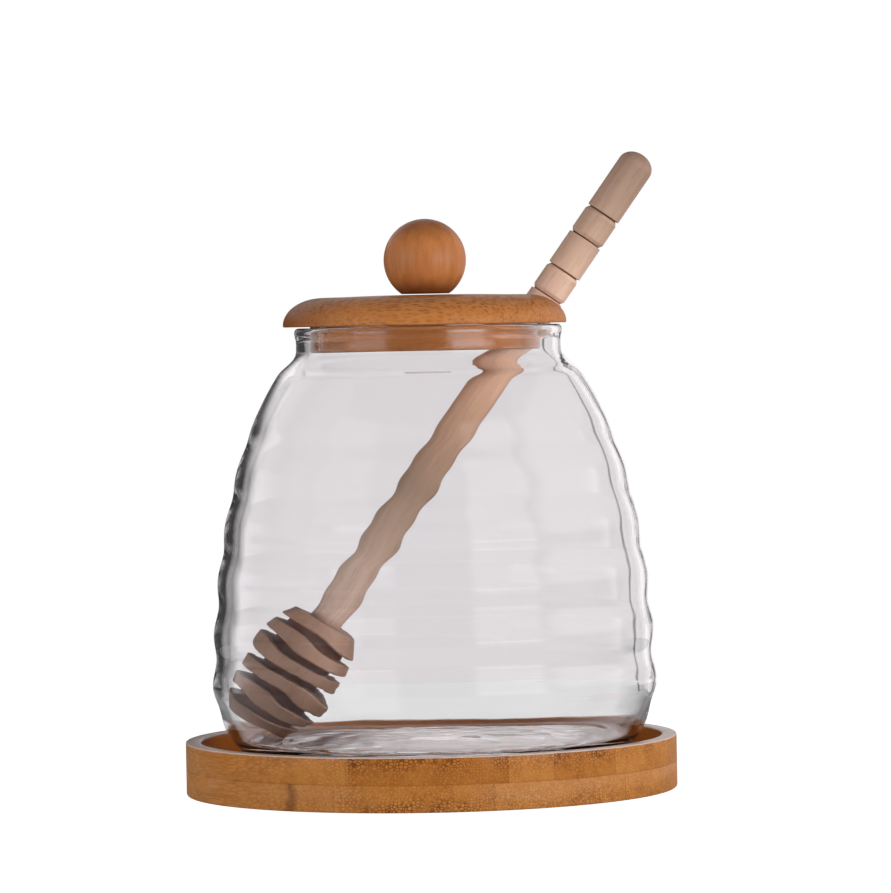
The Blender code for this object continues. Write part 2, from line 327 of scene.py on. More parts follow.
# What shows through the glass, where it bends the view aside
LOW_BACKDROP = 0.785
HIGH_BACKDROP = 0.94
BACKDROP_CARDS = (
    Card(0.25, (-26, -11, 4), (-60, 12, 6)),
    Card(0.02, (9.6, 10.8, 0.3)),
    Card(0.12, (21, 30, 0.6)),
)
BACKDROP_TINT = (1.0, 0.960, 0.975, 1.0)

# What the glass and the lacquer mirror, where a later card covers an earlier one
MIRRORED_ROOM = 0.05
MIRRORED_BACKDROP = (
    Card(0.35, (-104, 104, 12)),
    Card(1.0, (-62, 62, 12)),
    Card(1.0, (50, 112, 8), (4, 40, 2)),
)
HIGH_MIRRORED_SHARE = 0.4
MIRRORED_CARDS = (
    Card(0.08, (-104, -60, 5), (-2.0, 2.5, 1.5)),
    Card(0.05, (-50, -2, 2), (-60, 12, 6)),
    Card(0.10, (14, 20, 0.6)),
)

# The two lamps that the glass and the lacquer mirror, each a soft glow with a bright core
RIGHT_LAMP = (120, 158, 3)
LEFT_LAMP = (-142, -106, 3)
LEFT_LAMP_SHARE = 0.45
LAMP_GLOW = 0.75
LAMP_GLOW_HEIGHT = (-8, 42, 3)
LAMP_CORE = 1.2
LAMP_CORE_HEIGHT = (-1.2, 1.0, 0.8)

# Floor
FLOOR_RADIUS = 320 * MM
FLOOR_DROP = 0.3 * MM
FLOOR_LIGHT = 0.18
FLOOR_THROUGH_GLASS = 0.72
FLOOR_MIRRORED = 0.15

# Camera
PHOTO_LONG_SIDE = 893
FOCAL_PIXELS = 5000
SENSOR_WIDTH = 36.0
EYE = Vector((4.98 * MM, -1.25, 116.25 * MM))
CAMERA_PITCH = radians(1.395)
CAMERA_ROLL = radians(1.1)


def feed(tree, node, feeds):
    """Feeds a node's inputs by sockets or sets them to values."""
    for key, value in feeds.items():
        if isinstance(value, bpy.types.NodeSocket):
            tree.links.new(value, node.inputs[key])
        else:
            node.inputs[key].default_value = value


def add_node(tree, kind, feeds=None, **settings):
    node = tree.nodes.new(kind)
    for name, value in settings.items():
        setattr(node, name, value)
    feed(tree, node, feeds or {})
    return node


def maths(tree, operation, first, second=0.0, third=0.0):
    feeds = {0: first, 1: second, 2: third}
    return add_node(tree, "ShaderNodeMath", feeds, operation=operation).outputs[0]


def eased(tree, value, low, high, start=0.0, end=1.0):
    """A smooth step of the value, from start at low to end at high."""
    feeds = {0: value, 1: low, 2: high, 3: start, 4: end}
    node = add_node(tree, "ShaderNodeMapRange", feeds, interpolation_type="SMOOTHSTEP")
    return node.outputs[0]


def mixed(tree, share, first, second, blend="MIX"):
    """A mix of two colours."""
    feeds = {0: share, 6: first, 7: second}
    return add_node(tree, "ShaderNodeMix", feeds, data_type="RGBA", blend_type=blend).outputs[2]


def mixed_values(tree, share, first, second):
    """A mix of two numbers."""
    return add_node(tree, "ShaderNodeMix", {0: share, 2: first, 3: second}).outputs[0]


def window_of(tree, value, low, high):
    """1 between two numbers and 0 outside them."""
    over = maths(tree, "GREATER_THAN", value, low)
    return maths(tree, "MULTIPLY", over, maths(tree, "LESS_THAN", value, high))


def distance_from(tree, value, place):
    """How far a number is from another, on either side."""
    return maths(tree, "ABSOLUTE", maths(tree, "SUBTRACT", value, place))


def length_of(tree, first, second):
    """The length of a step of two numbers at right angles."""
    return maths(tree, "SQRT", maths(tree, "MULTIPLY_ADD", first, first, maths(tree, "POWER", second, 2.0)))


def noise_of(tree, place, size, detail, roughness=0.5):
    """Soft noise from 0 to 1, with patches of about the given size."""
    feeds = {"Vector": place, "Scale": 1 / size, "Detail": detail, "Roughness": roughness}
    return add_node(tree, "ShaderNodeTexNoise", feeds).outputs[0]


def tinted(tree, ground, pattern, low, high, share, colour, blend="MIX"):
    """The ground with a colour laid over it, by a share that grows from 0 where the pattern is low."""
    return mixed(tree, eased(tree, pattern, low, high, 0.0, share), ground, colour, blend)


def spread(low, high, count):
    return [low + (high - low) * i / (count - 1) for i in range(count)]


def arc(centre, radii, start, end, count):
    """Points on an elliptical arc, both ends included, with its angles in degrees."""
    angles = spread(radians(start), radians(end), count)
    return [(centre[0] + radii[0] * cos(a), centre[1] + radii[1] * sin(a)) for a in angles]


def round_arc(centre, radius, start, end, count):
    return arc(centre, (radius, radius), start, end, count)


def ease(share):
    """A smooth step from 0 to 1."""
    share = min(max(share, 0.0), 1.0)
    return share * share * (3 - 2 * share)


# Geometry Nodes


def new_tree(name, inputs):
    """A Geometry Nodes tree whose named inputs are given as name: (socket type, value)."""
    tree = bpy.data.node_groups.new(name, "GeometryNodeTree")
    tree.is_modifier = True
    tree.interface.new_socket("Geometry", in_out="INPUT", socket_type="NodeSocketGeometry")
    for label, (kind, value) in inputs.items():
        socket = tree.interface.new_socket(label, in_out="INPUT", socket_type="NodeSocket" + kind)
        if value is not None:
            socket.default_value = value
    tree.interface.new_socket("Geometry", in_out="OUTPUT", socket_type="NodeSocketGeometry")
    return tree, tree.nodes.new("NodeGroupInput").outputs


def turn_profile(tree, given):
    """Carries the profile round the spindle, as a lathe does, and closes its poles."""
    profile = add_node(tree, "GeometryNodeMeshToCurve", {"Mesh": given["Geometry"]})
    feeds = {"Resolution": given["Sides"], "Radius": SPINDLE}
    circle = add_node(tree, "GeometryNodeCurvePrimitiveCircle", feeds)
    level = add_node(tree, "GeometryNodeSetCurveNormal", {"Curve": circle.outputs[0]}, mode="Z_UP")
    feeds = {"Curve": level.outputs[0], "Profile Curve": profile.outputs[0]}
    body = add_node(tree, "GeometryNodeCurveToMesh", feeds)
    feeds = {"Geometry": body.outputs[0], "Distance": given["Pole Merge"]}
    return add_node(tree, "GeometryNodeMergeByDistance", feeds).outputs[0]


def end_tree(tree, given, geometry):
    smooth = add_node(tree, "GeometryNodeSetShadeSmooth", {"Geometry": geometry})
    real = add_node(tree, "GeometryNodeRealizeInstances", {"Geometry": smooth.outputs[0]})
    feeds = {"Geometry": real.outputs[0], "Material": given["Material"]}
    finish = add_node(tree, "GeometryNodeSetMaterial", feeds)
    add_node(tree, "NodeGroupOutput", {0: finish.outputs[0]})
    return tree


TURNING_INPUTS = {
    "Sides": ("Int", 96),
    "Pole Merge": ("Float", POLE_MERGE),
    "Material": ("Material", None),
}


def turning_tree():
    tree, given = new_tree("turned_body", TURNING_INPUTS)
    return end_tree(tree, given, turn_profile(tree, given))


def mark_of(tree, name):
    """The number that the profile holds for each of its points."""
    return add_node(tree, "GeometryNodeInputNamedAttribute", {"Name": name}, data_type="FLOAT").outputs[0]


def swirl_of(tree, place, size, detail, seed):
    """Soft noise from -0.5 to 0.5, in which the size and the seed are sockets."""
    feeds = {"Vector": place, "Scale": maths(tree, "DIVIDE", 1.0, size), "Detail": detail, "W": seed}
    noise = add_node(tree, "ShaderNodeTexNoise", feeds, noise_dimensions="4D").outputs[0]
    return maths(tree, "SUBTRACT", noise, 0.5)


def ribbed_glass_tree():
    """The turned jar, with its ribs and the slight unevenness of blown glass pressed into both walls."""
    inputs = dict(TURNING_INPUTS)
    inputs.update({
        "Rib Count": ("Float", float(RIB_COUNT)),
        "Rib Pitch": ("Float", RIB_PITCH),
        "First Rib": ("Float", FIRST_RIB),
        "Bottom Rib Depth": ("Float", BOTTOM_RIB_DEPTH),
        "Top Rib Depth": ("Float", TOP_RIB_DEPTH),
        "Ripple Depth": ("Float", BLOWN_RIPPLE),
        "Ripple Size": ("Float", RIPPLE_SIZE),
        "Floor Ripple Depth": ("Float", FLOOR_RIPPLE),
        "Floor Ripple Size": ("Float", FLOOR_RIPPLE_SIZE),
        "Valley Sharpness": ("Float", VALLEY_SHARPNESS),
        "Seed": ("Float", RIPPLE_SEED),
    })
    tree, given = new_tree("ribbed_glass", inputs)
    body = turn_profile(tree, given)
    place = add_node(tree, "GeometryNodeInputPosition").outputs[0]
    axes = add_node(tree, "ShaderNodeSeparateXYZ", {0: place}).outputs
    share = mark_of(tree, "rib_share")

    from_first = maths(tree, "SUBTRACT", axes["Z"], given["First Rib"])
    turns = maths(tree, "DIVIDE", from_first, given["Rib Pitch"])
    whole_turns = maths(tree, "SUBTRACT", given["Rib Count"], 1.0)
    turns_left = maths(tree, "SUBTRACT", whole_turns, turns)
    fade_in = eased(tree, turns, *RIBS_FADE_IN)
    fade_out = eased(tree, turns_left, *RIBS_FADE_OUT)
    fade = maths(tree, "MULTIPLY", fade_in, fade_out)
    extra = maths(tree, "SUBTRACT", given["Bottom Rib Depth"], given["Top Rib Depth"])
    slope = maths(tree, "MULTIPLY", extra, maths(tree, "DIVIDE", turns_left, whole_turns))
    depth = maths(tree, "ADD", given["Top Rib Depth"], slope)
    wave = maths(tree, "COSINE", maths(tree, "MULTIPLY", turns, 2 * pi))
    half_wave = maths(tree, "COSINE", maths(tree, "MULTIPLY", turns, 4 * pi))
    outside = maths(tree, "GREATER_THAN", share, 0.99)
    sharpening = maths(tree, "MULTIPLY", given["Valley Sharpness"], eased(tree, turns, *VALLEYS_SHARPEN))
    sharpening = maths(tree, "MULTIPLY", maths(tree, "MULTIPLY", sharpening, outside), half_wave)
    wave = maths(tree, "SUBTRACT", maths(tree, "MULTIPLY", wave, share), sharpening)
    ribs = maths(tree, "MULTIPLY", maths(tree, "MULTIPLY", fade, depth), wave)

    each_wall = maths(tree, "MULTIPLY_ADD", share, 5.0, given["Seed"])
    ripple = swirl_of(tree, place, given["Ripple Size"], 1.0, each_wall)
    ripple = maths(tree, "MULTIPLY", maths(tree, "MULTIPLY", ripple, given["Ripple Depth"]), share)

    outward = add_node(tree, "ShaderNodeCombineXYZ", {"X": axes["X"], "Y": axes["Y"]}).outputs[0]
    unit = add_node(tree, "ShaderNodeVectorMath", {0: outward}, operation="NORMALIZE").outputs[0]
    feeds = {0: unit, "Scale": maths(tree, "ADD", ribs, maths(tree, "MULTIPLY", ripple, 2.0))}
    sideways = add_node(tree, "ShaderNodeVectorMath", feeds, operation="SCALE").outputs[0]

    floor_share = mark_of(tree, "floor_share")
    swirl = swirl_of(tree, place, given["Floor Ripple Size"], 2.0, given["Seed"])
    swirl = maths(tree, "MULTIPLY", swirl, given["Floor Ripple Depth"])
    lift = maths(tree, "MULTIPLY", swirl, floor_share)
    upward = add_node(tree, "ShaderNodeCombineXYZ", {"Z": lift}).outputs[0]
    offset = add_node(tree, "ShaderNodeVectorMath", {0: sideways, 1: upward}, operation="ADD").outputs[0]
    pressed = add_node(tree, "GeometryNodeSetPosition", {"Geometry": body, "Offset": offset}).outputs[0]
    return end_tree(tree, given, pressed)


def run_tree(obj, tree, values):
    """The object's mesh after the tree, as a new plain mesh."""
    modifier = obj.modifiers.new("Shape", "NODES")
    modifier.node_group = tree
    items = tree.interface.items_tree
    sockets = {item.name: item.identifier for item in items if item.in_out == "INPUT"}
    for label, value in values.items():
        modifier[sockets[label]] = value
    bpy.context.view_layer.update()
    evaluated = obj.evaluated_get(bpy.context.evaluated_depsgraph_get())
    mesh = bpy.data.meshes.new_from_object(evaluated)
    obj.modifiers.remove(modifier)
    return mesh


def turned_mesh(profile, tree, material, sides, marks=None):
    """The plain mesh of a profile of (radius, height) points turned about Z, with a number that the tree
    reads for each point and mark."""
    guide = bpy.data.meshes.new("profile")
    edges = [(i, i + 1) for i in range(len(profile) - 1)]
    guide.from_pydata([(radius - SPINDLE, -height, 0.0) for radius, height in profile], edges, [])
    for name, numbers in (marks or {}).items():
        guide.attributes.new(name, "FLOAT", "POINT").data.foreach_set("value", numbers)
    carrier = bpy.data.objects.new("profile", guide)
    bpy.context.scene.collection.objects.link(carrier)
    mesh = run_tree(carrier, tree, {"Sides": sides, "Material": material})
    bpy.data.objects.remove(carrier)
    return mesh


def face_outwards(mesh):
    shape = bmesh.new()
    shape.from_mesh(mesh)
    bmesh.ops.remove_doubles(shape, verts=shape.verts, dist=POLE_MERGE / 4)
    bmesh.ops.recalc_face_normals(shape, faces=shape.faces)
    if shape.calc_volume(signed=True) < 0:
        bmesh.ops.reverse_faces(shape, faces=shape.faces)
    shape.to_mesh(mesh)
    shape.free()
    for name in PROFILE_MARKS:
        if name in mesh.attributes:
            mesh.attributes.remove(mesh.attributes[name])


def finished_piece(name, mesh, place, node, sharp=SHARP_ANGLE):
    """The named piece at its place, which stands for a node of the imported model."""
    mesh.transform(place)
    face_outwards(mesh)
    mesh.name = name
    mesh.shade_smooth()
    mesh.set_sharp_from_angle(angle=sharp)
    piece = bpy.data.objects.new(name, mesh)
    bpy.context.scene.collection.objects.link(piece)
    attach(piece, "root")
    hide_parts(node)
    return piece


# Materials


def new_material(name):
    material = bpy.data.materials.new(name)
    material.use_nodes = True
    tree = material.node_tree
    return material, tree, tree.nodes["Principled BSDF"]


def along_fibres(tree, turn, squeeze):
    """Object coordinates turned so that X runs along the fibres, then squeezed along them."""
    place = add_node(tree, "ShaderNodeTexCoord").outputs["Object"]
    turned = add_node(tree, "ShaderNodeMapping", {"Vector": place, "Rotation": turn}).outputs[0]
    squeezed = add_node(tree, "ShaderNodeMapping", {"Vector": turned, "Scale": squeeze}).outputs[0]
    return turned, squeezed


def stepped(tree, value, steps, offset, reach):
    """A number that changes in sharp steps along a length, given as (where it starts, number) pairs."""
    share = maths(tree, "DIVIDE", maths(tree, "ADD", value, offset), reach)
    node = add_node(tree, "ShaderNodeValToRGB", {0: share})
    ramp = node.color_ramp
    ramp.interpolation = "CONSTANT"
    for place, number in steps:
        position = min(max((place + offset) / reach, 0.0), 1.0)
        stop = ramp.elements.new(position)
        stop.color = (number, number, number, 1.0)
    ramp.elements.remove(ramp.elements[0])
    return node.outputs[0]


def bumped(tree, height, strength, depth):
    """The surface's direction with fine relief pressed into it."""
    feeds = {"Height": height, "Strength": strength, "Distance": depth}
    return add_node(tree, "ShaderNodeBump", feeds).outputs[0]


def strip_pattern(tree, across, above, board, look):
    """The strips' darkness or bundles, in the layer above the seam and in the one below it."""
    layers = []
    for strips in (board.strips_below, board.strips_above):
        steps = [(strip.start, getattr(strip, look)) for strip in strips]
        layers.append(stepped(tree, across, steps, BOARD_WIDTH / 2, BOARD_WIDTH))
    return mixed_values(tree, above, *layers)


def glue_lines(tree, across, above, from_seam, board):
    """The thin lines of glue between the strips and at the seam."""
    layers = []
    for strips in (board.strips_below, board.strips_above):
        nearest = 1.0
        for strip in strips[1:]:
            nearest = maths(tree, "MINIMUM", nearest, distance_from(tree, across, strip.start))
        layers.append(eased(tree, nearest, *GLUE_LINE, 1.0, 0.0))
    seam_line = eased(tree, from_seam, *SEAM_LINE, 1.0, 0.0)
    lines = maths(tree, "MAXIMUM", mixed_values(tree, above, *layers), seam_line)
    return maths(tree, "MULTIPLY", lines, GLUE_SHARE)


def knuckle_line(tree, turned, along, above):
    """The wavering line where the cane had a knuckle, faint above the seam."""
    wander = noise_of(tree, turned, KNUCKLE_STRAY_SIZE, 2.0)
    strays = maths(tree, "MULTIPLY", maths(tree, "SUBTRACT", wander, 0.5), KNUCKLE_STRAY)
    away = distance_from(tree, maths(tree, "ADD", along, strays), KNUCKLE_PLACE)
    line = eased(tree, away, *KNUCKLE_LINE, KNUCKLE_SHARE, 0.0)
    return maths(tree, "MULTIPLY", line, mixed_values(tree, above, 1.0, KNUCKLE_SHARE_ABOVE))


def bamboo(name, board):
    """Lacquered bamboo, whose dark bundles are a net or dots on cut ends and streaks along the sides."""
    material, tree, shader = new_material(name)
    turned, fibres = along_fibres(tree, (0.0, 0.0, board.fibre_turn), (board.net.squeeze, 1.0, 1.0))
    axes = add_node(tree, "ShaderNodeSeparateXYZ", {0: turned}).outputs
    along, across, height = axes["X"], axes["Y"], axes["Z"]
    above = maths(tree, "GREATER_THAN", height, board.seam)
    from_seam = distance_from(tree, height, board.seam)

    feeds = {"Vector": fibres, "Scale": 1 / board.net.cell, "Randomness": NET_RANDOMNESS}
    cells = add_node(tree, "ShaderNodeTexVoronoi", feeds, feature=board.net.feature).outputs["Distance"]
    patches = noise_of(tree, fibres, PATCH_SIZE, 2.0)
    strength = strip_pattern(tree, across, above, board, "bundles")
    strength = maths(tree, "MULTIPLY", strength, eased(tree, patches, 0.25, 0.65, 0.35, 1.0))
    strength = maths(tree, "MULTIPLY", strength, eased(tree, from_seam, *BUNDLES_STRENGTHEN, 0.45, 1.0))
    bundles = eased(tree, cells, board.net.reach / 4, board.net.reach, 1.0, 0.0)
    bundles = maths(tree, "MULTIPLY", bundles, strength)

    clouds = noise_of(tree, turned, CLOUD_SIZE, 2.0)
    streaks = noise_of(tree, fibres, STREAK_SIZE, 2.0)
    grain = noise_of(tree, fibres, GRAIN_SIZE, 3.0, 0.65)
    colour = mixed(tree, strip_pattern(tree, across, above, board, "darkness"), board.light, board.middle)
    colour = tinted(tree, colour, clouds, 0.35, 0.68, 0.40, board.middle)
    colour = tinted(tree, colour, streaks, 0.35, 0.70, 0.38, board.middle)
    colour = tinted(tree, colour, grain, 0.40, 0.75, 0.26, BAMBOO_DARK)
    colour = mixed(tree, maths(tree, "MULTIPLY", bundles, BUNDLE_SHARE), colour, BAMBOO_DARK)
    colour = mixed(tree, glue_lines(tree, across, above, from_seam, board), colour, BAMBOO_DARK)
    colour = mixed(tree, knuckle_line(tree, turned, along, above), colour, BAMBOO_DARK)

    # A deeper orange within the radius and below the height
    within = maths(tree, "LESS_THAN", length_of(tree, across, along), board.inner_radius)
    within = maths(tree, "MULTIPLY", within, maths(tree, "LESS_THAN", height, board.inner_height))
    colour = mixed(tree, maths(tree, "MULTIPLY", within, board.inner_share), colour, DEEP_ORANGE)
    shade = eased(tree, along, board.shade_start, board.shade_end, board.shade_share, 0.0)
    colour = mixed(tree, shade, colour, BAMBOO_DARK)
    on_rim = window_of(tree, height, TRAY_HEIGHT - RIM_DEPTH, TRAY_HEIGHT + RIM_DEPTH)
    # A painted highlight along the rim's top
    colour = mixed(tree, maths(tree, "MULTIPLY", on_rim, RIM_HIGHLIGHT_SHARE), colour, RIM_HIGHLIGHT)

    coat = mixed_values(tree, above, board.coat_below, board.coat_above)
    coat = maths(tree, "MULTIPLY", coat, maths(tree, "SUBTRACT", 1.0, shade))
    relief = maths(tree, "MULTIPLY_ADD", bundles, -0.6, maths(tree, "MULTIPLY", grain, 0.4))
    feed(tree, shader, {
        "Base Color": colour,
        "Roughness": eased(tree, grain, 0.2, 0.8, 0.36, 0.52),
        "Specular IOR Level": 0.06,
        "Coat Weight": mixed_values(tree, on_rim, coat, board.coat_on_rim),
        "Coat Roughness": 0.10,
        "Coat IOR": 2.2,
        "Normal": bumped(tree, relief, 0.10, 0.2 * MM),
    })
    return material


def stained_ball_wood():
    """Reddish brown close-grained wood with faint upright figure, under satin lacquer. It is darker at
    the top and the bottom of the ball, by painted shade."""
    material, tree, shader = new_material("stained_wood")
    turned, fibres = along_fibres(tree, (0.0, radians(90), 0.0), (0.10, 1.0, 1.0))
    figure = noise_of(tree, fibres, KNOB_FIGURE_SIZE, 3.0, 0.55)
    pores = noise_of(tree, fibres, KNOB_PORE_SIZE, 2.0)
    place = add_node(tree, "ShaderNodeTexCoord").outputs["Object"]
    height = add_node(tree, "ShaderNodeSeparateXYZ", {0: place}).outputs["Z"]
    from_middle = maths(tree, "SUBTRACT", height, KNOB_BOTTOM + KNOB_FLAT_DROP)
    # Painted shade, darker towards the top and the bottom of the ball
    top = eased(tree, from_middle, *KNOB_TOP_SHADE)
    bottom = eased(tree, from_middle, *KNOB_BOTTOM_SHADE)
    colour = tinted(tree, KNOB_LIGHT, figure, 0.30, 0.72, 0.75, KNOB_DEEP)
    colour = tinted(tree, colour, pores, 0.50, 0.72, 0.35, KNOB_DEEP)
    colour = mixed(tree, maths(tree, "ADD", top, bottom), colour, KNOB_POLE_SHADE)
    feed(tree, shader, {
        "Base Color": colour,
        "Roughness": eased(tree, figure, 0.3, 0.7, 0.36, 0.46),
        "Specular IOR Level": 0.15,
        "Coat Weight": 0.14,
        "Coat Roughness": 0.22,
        "Normal": bumped(tree, pores, 0.08, 0.1 * MM),
    })
    return material


def pale_turned_wood():
    """Bare pinkish beech, with fine growth lines and short dark flecks along the stick and painted shade in
    its grooves. Its colour along the stick paints light and shade: darker at the tip, brightest by the lid,
    and brown at the head."""
    material, tree, shader = new_material("pale_wood")
    lean = (0.0, radians(90) - DIPPER_LEAN, 0.0)
    turned, fibres = along_fibres(tree, lean, (0.06, 1.0, 1.0))
    growth = noise_of(tree, fibres, GROWTH_SIZE, 3.0, 0.6)
    pores = noise_of(tree, fibres, FLECK_SIZE, 2.0, 0.6)

    axes = add_node(tree, "ShaderNodeSeparateXYZ", {0: turned}).outputs
    upwards = Vector((sin(DIPPER_LEAN), 0.0, cos(DIPPER_LEAN)))
    sideways = Vector((-cos(DIPPER_LEAN), 0.0, sin(DIPPER_LEAN)))
    from_tip = maths(tree, "SUBTRACT", DIPPER_TIP.dot(upwards), axes["X"])
    from_axis = length_of(tree, maths(tree, "SUBTRACT", axes["Z"], DIPPER_TIP.dot(sideways)), axes["Y"])
    # Painted shade in the grip's grooves and painted shadow between the head's discs
    grip_shade = maths(tree, "MULTIPLY", eased(tree, from_axis, *GRIP_GROOVE_SHADE_FADE, 1.0, 0.0),
                    window_of(tree, from_tip, GROOVE_SHADE_START, HEAD_START - SHADE_MARGIN))
    in_head = maths(tree, "MULTIPLY", eased(tree, from_axis, *HEAD_SHADOW_FADE, 1.0, 0.0),
                    window_of(tree, from_tip, HEAD_START + SHADE_MARGIN, DIPPER_LENGTH - SHADE_MARGIN))

    # Colours along the stick, with light and shade painted into them
    shaded_tone = add_node(tree, "ShaderNodeValToRGB", {0: maths(tree, "DIVIDE", from_tip, DIPPER_LENGTH)})
    ramp = shaded_tone.color_ramp
    ramp.elements[0].color = DIPPER_SHADED_TONES[0][1]
    ramp.elements[1].color = DIPPER_SHADED_TONES[-1][1]
    for place, colour in DIPPER_SHADED_TONES[1:-1]:
        ramp.elements.new(place / DIPPER_LENGTH).color = colour
    colour = tinted(tree, shaded_tone.outputs[0], growth, 0.32, 0.70, 0.42, GROWTH_TINT, "MULTIPLY")
    colour = tinted(tree, colour, pores, 0.56, 0.74, 0.45, FLECK_TINT, "MULTIPLY")
    # Painted shade in the grooves
    colour = mixed(tree, grip_shade, colour, GRIP_GROOVE_SHADE, "MULTIPLY")
    colour = mixed(tree, in_head, colour, HEAD_SHADOW_TINT, "MULTIPLY")
    feed(tree, shader, {
        "Base Color": colour,
        "Roughness": 0.62,
        "Normal": bumped(tree, pores, 0.15, 0.1 * MM),
    })
    return material


def clear_glass():
    material, tree, shader = new_material("clear_glass")
    feed(tree, shader, {
        "Base Color": (0.975, 0.975, 0.98, 1.0),
        "Roughness": 0.0,
        "IOR": 1.47,
        "Transmission Weight": 1.0,
    })
    return material


# Pieces


def make_tray(tree, material):
    inside = TRAY_RADIUS - TRAY_WALL
    rim = TRAY_HEIGHT - TRAY_EDGE
    top_rim = TRAY_HEIGHT - TRAY_TOP_EDGE
    floor = spread(0.0, inside - TRAY_CORNER, 12)
    profile = [(radius, TRAY_FLOOR) for radius in floor]
    profile += round_arc((inside - TRAY_CORNER, TRAY_FLOOR + TRAY_CORNER), TRAY_CORNER, -80, 0, 8)
    profile += round_arc((inside + TRAY_EDGE, rim), TRAY_EDGE, 180, 90, EDGE_POINTS)
    profile += round_arc((TRAY_RADIUS - TRAY_TOP_EDGE, top_rim), TRAY_TOP_EDGE, 90, 0, EDGE_POINTS)
    profile += [(TRAY_RADIUS, TRAY_SEAM + SEAM_GROOVE_HALF_WIDTH)]
    profile += [(TRAY_RADIUS - SEAM_GROOVE_DEPTH, TRAY_SEAM)]
    profile += [(TRAY_RADIUS, TRAY_SEAM - SEAM_GROOVE_HALF_WIDTH)]
    profile += round_arc((TRAY_RADIUS - TRAY_EDGE, TRAY_EDGE), TRAY_EDGE, 0, -90, EDGE_POINTS)
    profile += [(radius, 0.0) for radius in reversed(floor)]
    mesh = turned_mesh(profile, tree, material, TRAY_SIDES)
    return finished_piece("bamboo_tray", mesh, Matrix.Identity(4), "tray")


def dome_radius(height):
    """The jar's outer radius without its ribs."""
    share = (height - JAR_BOTTOM) / DOME_RISE
    dome = JAR_RADIUS * (1 - share**DOME_FALL_POWER) ** (1 / DOME_ROUND_POWER)
    to_neck = ease((height - SHOULDER_LOW) / (SHOULDER_HIGH - SHOULDER_LOW))
    return dome + (NECK_RADIUS - dome) * to_neck


def corner_point(angle):
    """A point on the outer turn from the foot up into the side, at an angle of its own curve."""
    share = sin(angle) ** (2 / CORNER_POWER)
    height = CORNER_TOP - (CORNER_TOP - JAR_BOTTOM) * share
    reach = JAR_RADIUS - FOOT_OUTER_RADIUS
    drop = 1 - (1 - share**CORNER_POWER) ** (1 / CORNER_POWER)
    return dome_radius(height) - reach * drop, height


def outer_wall():
    """The wall's outer face, from the foot up to the neck."""
    corner = [corner_point(a) for a in spread(pi / 2, 0.0, 44)]
    count = round((SHOULDER_HIGH - CORNER_TOP) / PROFILE_STEP)
    return corner + [(dome_radius(z), z) for z in spread(CORNER_TOP, SHOULDER_HIGH, count)[1:]]


def inner_wall(outer):
    """The wall's inner face, one wall inside the outer one, which a round corner joins to the floor."""
    floor = JAR_BOTTOM + BASE_THICKNESS
    inset = []
    for i in range(1, len(outer)):
        (r0, z0), (r1, z1) = outer[i - 1], outer[i]
        length = sqrt((r1 - r0) ** 2 + (z1 - z0) ** 2)
        middle = ((r0 + r1) / 2, (z0 + z1) / 2)
        inset.append((middle[0] - WALL * (z1 - z0) / length, middle[1] + WALL * (r1 - r0) / length))
    inset = [point for point in inset if point[1] > floor + INNER_CORNER_RISE and point[1] < SHOULDER_HIGH]
    (r0, z0), (r1, z1) = inset[0], inset[1]
    lean = (r1 - r0) / (z1 - z0)
    turn = (r0 - lean * (z0 - floor), floor)
    end = turn[0] - sqrt((r0 - turn[0]) ** 2 + (z0 - floor) ** 2)
    corner = []
    for share in spread(0.0, 1.0, 14)[:-1]:
        near, middle, far = (1 - share) ** 2, 2 * share * (1 - share), share**2
        corner.append((near * end + middle * turn[0] + far * r0, (near + middle) * floor + far * z0))
    return corner + inset + [(NECK_INNER_RADIUS, SHOULDER_HIGH)]


def shallow_dish(edge, rise, radius, count):
    """Points from the middle out to the edge of a face that rises in its middle."""
    return [(r, edge + rise * (1 - (r / radius) ** 2)) for r in spread(0.0, radius, count)]


def make_jar(tree, material):
    floor = JAR_BOTTOM + BASE_THICKNESS
    outer = outer_wall()
    inner = inner_wall(outer)
    floor_radius = inner[0][0]
    dish = shallow_dish(floor, PUNT_RISE / 2, floor_radius, 40)[:-1]
    punt = shallow_dish(JAR_BOTTOM, PUNT_RISE, FOOT_INNER_RADIUS, 24)
    lip = [(NECK_INNER_RADIUS, z) for z in spread(SHOULDER_HIGH, JAR_TOP - LIP_RADIUS, 6)[1:-1]]
    lip += round_arc((LIP_MIDDLE_RADIUS, JAR_TOP - LIP_RADIUS), LIP_RADIUS, 180, 0, 22)
    bead = LIP_MIDDLE_RADIUS + LIP_RADIUS - NECK_RADIUS
    for share in spread(0.0, 1.0, 10)[1:]:
        lip.append((NECK_RADIUS + bead * (1 - ease(share)), JAR_TOP - LIP_RADIUS - LIP_FALL * share))
    profile = dish + inner + lip + list(reversed(outer)) + list(reversed(punt))
    inner_shares = [INNER_RIB_SHARE * ease((z - floor) / INNER_RIB_FADE) for r, z in inner]
    shares = [0.0] * len(dish) + inner_shares + [0.0] * len(lip) + [1.0] * len(outer) + [0.0] * len(punt)
    reach = FLOOR_RIPPLE_REACH * floor_radius
    floor_shares = [1.0 - ease((r - reach) / (floor_radius - reach)) for r, z in dish]
    floor_shares += [0.0] * (len(profile) - len(dish))
    marks = {"rib_share": shares, "floor_share": floor_shares}
    mesh = turned_mesh(profile, tree, material, JAR_SIDES, marks)
    return finished_piece("glass_jar", mesh, Matrix.Translation((JAR_X, 0.0, 0.0)), "jar")


